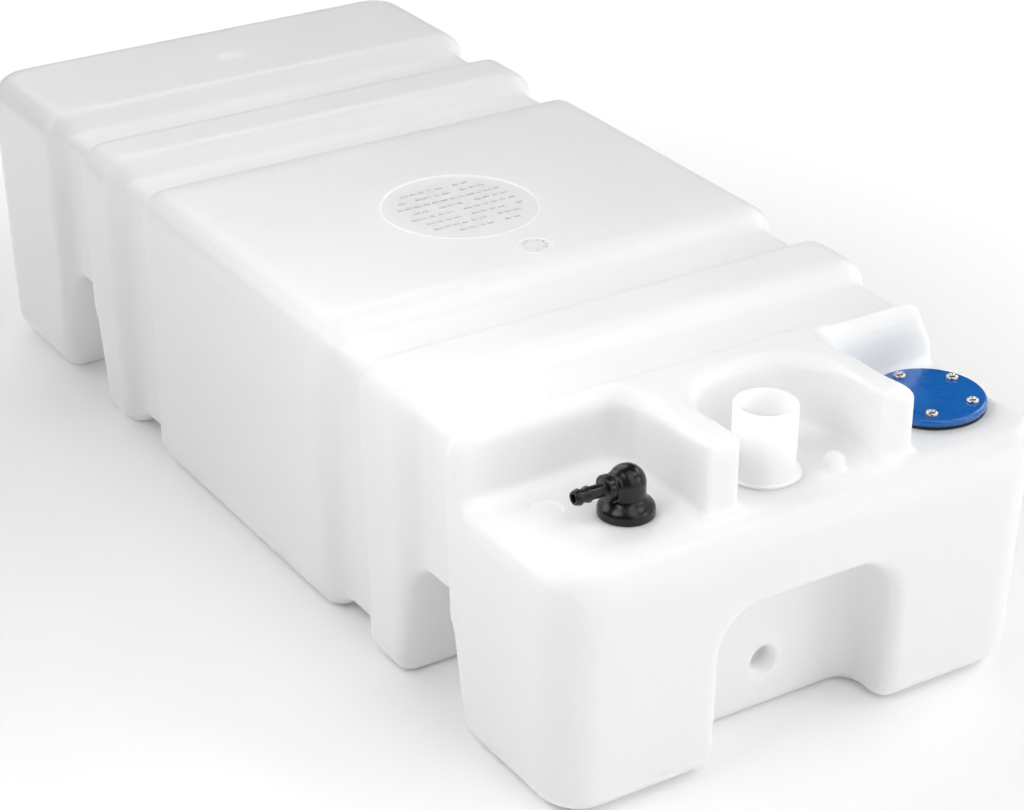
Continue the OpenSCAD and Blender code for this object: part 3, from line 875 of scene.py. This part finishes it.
    def build(self, finishes: Finishes) -> bpy.types.Object:
        """Make the tank's skin.

        Args:
            finishes: the materials.

        Returns:
            The skin's object.
        """
        skin = Skin.of(self.shape, self.lines())
        mesh = bpy.data.meshes.new("skin")
        mesh.from_pydata((skin.points * MM).tolist(), [], skin.quads.tolist())
        bm = bmesh.new()
        bm.from_mesh(mesh)
        bm.faces.ensure_lookup_table()
        plans = [(spot, [bm.faces[i] for i in spot.covers(skin)]) for spot in self.spots()]
        for spot, doomed in plans:
            spot.cut(bm, doomed)
        return self.piece.from_bmesh(bm, finishes[Slot.TANK])

    def mark(self, repeats: Repeats, finishes: Finishes) -> bpy.types.Object:
        """Make the plain raised bars on the disc and the ticks of the small dial.

        Args:
            repeats: the geometry node trees.
            finishes: the materials.

        Returns:
            The marks' object.
        """
        plastic = finishes[Slot.TANK]
        bars = repeats.run(repeats.rows, self.bar(5.6, 1.7, 0.75), {
            "Finish": plastic, "Centre": self.on_top(self.disc_at, 0.65), "Width": 88 * MM, "Depth": 66 * MM,
            "Limit": 44 * MM, "Share": 0.86, "Columns": 14, "Rows": 8, "Seed": 7})
        ticks = repeats.run(repeats.ring, self.bar(2.4, 0.7, 0.4, 7.6), {
            "Finish": plastic, "Centre": self.on_top(self.dial_at, 0.05), "Radius": 0.01 * MM,
            "Start angle": 0.2, "Count": 12})
        bm = bmesh.new()
        bm.from_mesh(bars)
        bm.from_mesh(ticks)
        return self.marks.from_bmesh(bm, plastic)

    def on_top(self, at: tuple[float, float], sunk: float) -> tuple[float, float, float]:
        """Place a little under the tank's top, in metres."""
        return at[0] * MM, at[1] * MM, (self.height - sunk) * MM

    @staticmethod
    def bar(long: float, wide: float, high: float, out: float = 0.0) -> bmesh.types.BMesh:
        """Low bar with sloping sides, lying along X.

        Args:
            long: its length.
            wide: its width.
            high: its height.
            out: distance of its middle from the origin.

        Returns:
            The bar's mesh, in metres.
        """
        bm = bmesh.new()
        rows = ((0.5, 0.0), (0.47, 0.55), (0.36, 1.0))
        rings = []
        for share, rise in rows:
            trim = (0.5 - share) * wide * 2.0
            x, y = long / 2 - trim / 2, wide * share
            rings.append([bm.verts.new(Vector((out + sx * x, sy * y, rise * high)) * MM)
                          for sx, sy in ((-1, -1), (1, -1), (1, 1), (-1, 1))])
        for a, b in zip(rings, rings[1:]):
            for i in range(4):
                bm.faces.new((a[i], a[(i + 1) % 4], b[(i + 1) % 4], b[i]))
        bm.faces.new(rings[-1])
        bm.faces.new(rings[0][::-1])
        return bm


@dataclass
class FillerNeck:
    """Welded filler neck."""

    at: tuple[float, float, float] = (-2.0, -341.0, 160.0)
    r: float = 19.0
    wall: float = 3.0
    rise: float = 45.0
    collar: float = 4.0
    collar_h: float = 4.0
    spigot: float = 6.9
    piece: Piece = Piece("filler_tube", Body.TANK, Slot.NECK, ("filler_neck",))

    def build(self, finishes: Finishes) -> bpy.types.Object:
        """Make the neck with round rims and a weld bead at its foot.

        Args:
            finishes: the materials.

        Returns:
            The neck's object.
        """
        bore = self.r - self.wall
        outer = self.r + self.collar
        foot = self.r - 1.0
        profile = [(bore, -self.spigot), (foot, -self.spigot), (foot, 0.0), (outer - 0.4, 0.0),
                   *arc((outer - 1.2, 1.4), 1.2, -60, 60, 4),
                   *arc((outer + 1.2, self.collar_h), 3.2, 225, 180, 4),
                   (self.r, self.collar_h + 3.0), (self.r, self.rise * 0.6),
                   *arc((self.r - 1.1, self.rise - 1.1), 1.1, 0, 90, 4),
                   *arc((bore + 0.9, self.rise - 0.9), 0.9, 90, 180, 4), (bore, self.rise * 0.5)]
        bm = bmesh.new()
        turned(bm, profile, self.at, 112)
        return self.piece.from_bmesh(bm, finishes[Slot.NECK])


@dataclass
class SenderCover:
    """Round cover with its gasket and five screws."""

    at: tuple[float, float, float] = (134.0, -326.0, 160.0)
    r: float = 35.5
    gasket_t: float = 2.0
    cover_t: float = 4.8
    port_r: float = 20.5
    bevel: float = 2.6
    screw_circle: float = 27.0
    screw_r: float = 1.9
    head_r: float = 4.0
    head_h: float = 2.6
    shank: float = 15.8
    first_screw: float = 18.0
    lid: Piece = Piece("cover_lid", Body.TANK, Slot.BLUE, ("sender_cover",))
    seal: Piece = Piece("cover_seal", Body.TANK, Slot.SEAL, ("cover_gasket",))
    screws: Piece = Piece("lid_screws", Body.TANK, Slot.STEEL, ("cover_screws",))

    def build(self, finishes: Finishes) -> list[bpy.types.Object]:
        """Make the lid and its gasket.

        Args:
            finishes: the materials.

        Returns:
            Their objects.
        """
        top = self.cover_t
        edge = [*arc((self.r - self.bevel, top - self.bevel), self.bevel, 0, 82, 8)]
        lid = [(0.0, 0.0), (self.r - 0.6, 0.0), (self.r, 0.5), *edge, (self.r - 5.0, top),
               (self.r - 9.0, top), (0.0, top)]
        bm = bmesh.new()
        turned(bm, lid, (self.at[0], self.at[1], self.at[2] + self.gasket_t), 128)
        made = [self.lid.from_bmesh(bm, finishes[Slot.BLUE])]
        half, out = self.gasket_t / 2, self.r - 0.35
        ring = [(self.port_r, 0.0), (out - 0.5, 0.0), *arc((out - 0.7, half), half * 0.95, -60, 60, 6),
                (out - 0.5, self.gasket_t), (self.port_r, self.gasket_t)]
        bm = bmesh.new()
        turned(bm, ring, self.at, 128)
        made.append(self.seal.from_bmesh(bm, finishes[Slot.SEAL]))
        return made

    def fasten(self, repeats: Repeats, finishes: Finishes) -> bpy.types.Object:
        """Make the five screws.

        Args:
            repeats: the geometry node trees.
            finishes: the materials.

        Returns:
            The screws' object.
        """
        socket, deep = 1.9, 2.0
        h, r = self.head_h, self.head_r
        dome = [(r * math.cos(t) ** 0.8, 0.5 + (h - 0.5) * math.sin(t)) for t in np.linspace(0.0, 1.05, 7)]
        mouth = dome[-1][1] + 0.06
        profile = [(0.0, -self.shank), (self.screw_r, -self.shank), (self.screw_r, 0.0), (r, 0.0), *dome,
                   (socket + 0.25, mouth), (socket, mouth - 0.15), (socket * 0.94, h - deep),
                   (0.0, h - deep - 0.35)]
        bm = bmesh.new()
        turned(bm, profile, (0.0, 0.0, 0.0), 36)
        top = (self.at[2] + self.gasket_t + self.cover_t) * MM
        mesh = repeats.run(repeats.ring, bm, {
            "Finish": finishes[Slot.STEEL], "Centre": (self.at[0] * MM, self.at[1] * MM, top),
            "Radius": self.screw_circle * MM, "Start angle": math.radians(self.first_screw), "Count": 5})
        return self.screws.from_mesh(mesh, finishes[Slot.STEEL])


@dataclass
class PickupElbow:
    """Swivelling hose elbow on the pickup."""

    at: tuple[float, float, float] = (-96.0, -339.0, 160.0)
    skirt_r: float = 16.7
    skirt_h: float = 8.6
    shoulder: float = 4.6
    dome_r: float = 11.0
    dome_z: float = 20.0
    flare: float = 5.0
    collar_r: float = 8.0
    collar_reach: float = 16.0
    barb_r: float = 4.0
    ridge: float = 0.9
    reach: float = 36.0
    gap: float = 0.35
    groove_at: float = 10.6
    groove_r: float = 1.3
    seat: tuple[float, float] = (13.3, 5.4)
    hole: tuple[float, float] = (8.8, 14.9)
    bore_r: float = 2.6
    bore_from: float = 12.0
    piece: Piece = Piece("hose_elbow", Body.ELBOW, Slot.BLACK, ("pickup_elbow",))

    def shape(self, x: Array, y: Array, z: Array) -> Array:
        """Field of the elbow about its own axis, with its barb towards -X.

        Args:
            x: places along the barb.
            y: places across it.
            z: heights above the shelf.

        Returns:
            Distance to the surface, negative inside.
        """
        q = np.hypot(x, y)
        dome = np.where(z > self.dome_z, np.hypot(q, z - self.dome_z), q) - self.dome_r
        skirt = round_max(q - self.skirt_r, z - self.skirt_h, self.shoulder)
        body = np.maximum(round_min(dome, skirt, self.flare), q - self.skirt_r)
        s, p = -x, np.hypot(y, z - self.dome_z)
        collar = round_max(p - self.collar_r, np.abs(s - self.collar_reach / 2) - self.collar_reach / 2, 1.0)
        body = round_min(body, collar, 1.2)
        groove = np.hypot(s - self.groove_at, p - self.collar_r - 0.2) - self.groove_r
        body = round_max(body, -groove, 0.3)
        crest = np.zeros_like(s)
        for start in (self.reach - 10.0, self.reach - 4.0):
            fall = np.clip(1.0 - (s - start - 1.0) / 2.8, 0.0, 1.0)
            crest = np.maximum(crest, np.where(s > start, fall, 0.0))
        along = np.abs(s - self.reach / 2) - self.reach / 2
        barb = round_max(p - self.barb_r - self.ridge * crest, along, 0.5)
        body = round_min(body, barb, 1.5)
        seat, hole = (round_max(q - r, z - top, 0.6) for r, top in (self.seat, self.hole))
        hollow = np.minimum(np.minimum(seat, hole), np.maximum(p - self.bore_r, self.bore_from - s))
        return round_max(round_max(body, -hollow, 0.4), self.gap - z, 0.5)

    def build(self, finishes: Finishes) -> bpy.types.Object:
        """Make the elbow.

        Args:
            finishes: the materials.

        Returns:
            The elbow's object.
        """
        fine = 0.5
        lines = [grid_lines((-38, 19, fine)), grid_lines((-18.5, 18.5, fine)), grid_lines((-1.2, 33, fine))]
        skin = Skin.of(self.shape, lines)
        mesh = bpy.data.meshes.new(self.piece.name)
        mesh.from_pydata(((skin.points + np.array(self.at)) * MM).tolist(), [], skin.quads.tolist())
        return self.piece.from_mesh(mesh, finishes[Slot.BLACK])


@dataclass
class PickupInside:
    """Pieces of the pickup that keep their frame shapes."""

    finishes_of: dict[str, Slot] = field(default_factory=lambda: {
        "pickup_stem": Slot.BLACK, "stem_seal": Slot.SEAL, "stem_o_ring": Slot.SEAL, "stem_clip": Slot.STEEL,
        "pickup_insert": Slot.BRASS, "dip_tube": Slot.NECK, "strainer_frame": Slot.BLACK,
        "strainer_mesh": Slot.STEEL, "screw_inserts": Slot.BRASS})

    def dress(self, finishes: Finishes) -> None:
        """Give each of them its finish.

        Args:
            finishes: the materials.
        """
        for name, slot in self.finishes_of.items():
            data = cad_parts[name].data
            data.materials.clear()
            data.materials.append(finishes[slot])
            LOG.info("%s: frame shape, %s", name, slot.value)


# Studio


@dataclass(frozen=True)
class Lamp:
    """One round soft light.

    Args:
        name: what it lights.
        toward: direction from the point it is aimed at.
        far: distance from that point in metres.
        size: width of its face in metres.
        power: watts.
        aim: the point it is aimed at, in metres.
    """

    name: str
    toward: tuple[float, float, float]
    far: float
    size: float
    power: float
    aim: tuple[float, float, float] = (0.0, 0.0, 0.1)

    def hang(self) -> None:
        """Put the lamp in the scene, out of the camera's sight."""
        data = bpy.data.lights.new(self.name, "AREA")
        data.shape, data.size, data.energy = "DISK", self.size, self.power
        way = Vector(self.toward).normalized()
        obj = bpy.data.objects.new(self.name, data)
        obj.location = Vector(self.aim) + way * self.far
        obj.rotation_mode = "QUATERNION"
        obj.rotation_quaternion = (-way).to_track_quat("-Z", "Y")
        obj.visible_camera = False
        bpy.context.scene.collection.objects.link(obj)


@dataclass(frozen=True)
class Studio:
    """Camera, floor and lights."""

    focal_px: float = 2686.7174
    image: tuple[int, int] = (1024, 810)
    azimuth: float = -32.52947
    elevation: float = 27.61976
    roll: float = 0.283492
    place: tuple[float, float, float] = (-851.618, -1404.482, 910.498)
    world: float = 0.02
    glow: tuple[float, float] = (0.06, 0.28)
    glow_at: tuple[float, float] = (0.35, 0.75)
    lamps: tuple[Lamp, ...] = (
        Lamp("key", (0.47, -0.46, 0.75), 3.0, 0.7, 8.0),
        Lamp("right", (1.0, -0.1, 0.5), 3.0, 2.0, 26.5),
        Lamp("left back", (-0.6, 0.6, 0.55), 3.0, 2.0, 26.0),
        Lamp("back top", (0.1, 0.7, 0.7), 3.0, 2.5, 28.0),
        Lamp("front right", (0.6, -0.75, 0.3), 3.0, 1.5, 14.5),
        Lamp("front", (0.1, -1.0, 0.35), 3.0, 1.5, 8.5),
        Lamp("front top", (0.0, -0.7, 0.7), 3.0, 1.5, 10.0),
        Lamp("fittings front", (0.0, -0.21, 0.7), 0.731, 0.5, 0.7, aim=(0.0, -0.34, 0.15)),
        Lamp("fittings left", (-0.5, -0.02, 0.47), 0.687, 0.4, 1.5, aim=(0.0, -0.34, 0.15)))

    def camera(self) -> None:
        """Place the camera at the photograph's view."""
        a, e, t = (math.radians(v) for v in (self.azimuth, self.elevation, self.roll))
        back = Vector((math.sin(a) * math.cos(e), -math.cos(a) * math.cos(e), math.sin(e)))
        right = Vector((0.0, 0.0, 1.0)).cross(back).normalized()
        up = back.cross(right)
        across = math.cos(t) * right + math.sin(t) * up
        upward = -math.sin(t) * right + math.cos(t) * up
        data = bpy.data.cameras.new("view")
        data.sensor_fit = "HORIZONTAL"
        data.sensor_width = 36.0
        data.lens = 36.0 * self.focal_px / self.image[0]
        data.clip_start, data.clip_end = 0.05, 100.0
        obj = bpy.data.objects.new("view", data)
        obj.matrix_world = Matrix.Translation(Vector(self.place) * MM) @ Matrix(
            (across, upward, back)).transposed().to_4x4()
        bpy.context.scene.collection.objects.link(obj)
        bpy.context.scene.camera = obj

    def floor(self) -> None:
        """Lay the pale floor, which glows, more brightly away from the piece."""
        mesh = bpy.data.meshes.new("floor")
        reach = 30.0
        mesh.from_pydata([(-reach, -reach, 0), (reach, -reach, 0), (reach, reach, 0), (-reach, reach, 0)], [],
                         [(0, 1, 2, 3)])
        mat, w = blank("pale floor")
        away = w.add("ShaderNodeVectorMath", {"0": w.add("ShaderNodeTexCoord").outputs["Object"]},
                     operation="LENGTH")
        # the floor glows: its emission rises away from the piece, whitening the far floor and lighting the
        # tank from below
        surface = w.add("ShaderNodeBsdfPrincipled", {
            "Base Color": (0.97, 0.97, 0.97, 1.0), "Roughness": 0.8, "Specular IOR Level": 0.1,
            "Emission Color": (1.0, 1.0, 1.0, 1.0),
            "Emission Strength": w.remap(away.outputs["Value"], self.glow_at, self.glow)})
        w.add("ShaderNodeOutputMaterial", {"Surface": surface})
        mesh.materials.append(mat)
        obj = bpy.data.objects.new("floor", mesh)
        bpy.context.scene.collection.objects.link(obj)

    def light(self) -> None:
        """Hang the lamps and set the plain white world."""
        world = bpy.data.worlds.new("studio")
        world.use_nodes = True
        back = world.node_tree.nodes["Background"]
        back.inputs["Color"].default_value = (1.0, 1.0, 1.0, 1.0)
        back.inputs["Strength"].default_value = self.world
        bpy.context.scene.world = world
        for lamp in self.lamps:
            lamp.hang()
        bpy.context.scene.view_settings.view_transform = "Standard"

    def build(self) -> None:
        """Make the whole studio."""
        self.camera()
        self.floor()
        self.light()


def main() -> None:
    """Build every sub-assembly in order."""
    logging.basicConfig(level=logging.INFO, format="%(name)s %(message)s")
    finishes, repeats = Finishes(), Repeats()
    Studio().build()
    tank = TankShell()
    tank.build(finishes)
    tank.mark(repeats, finishes)
    FillerNeck().build(finishes)
    cover = SenderCover()
    cover.build(finishes)
    cover.fasten(repeats, finishes)
    PickupElbow().build(finishes)
    PickupInside().dress(finishes)


if __name__ == "__main__":
    main()
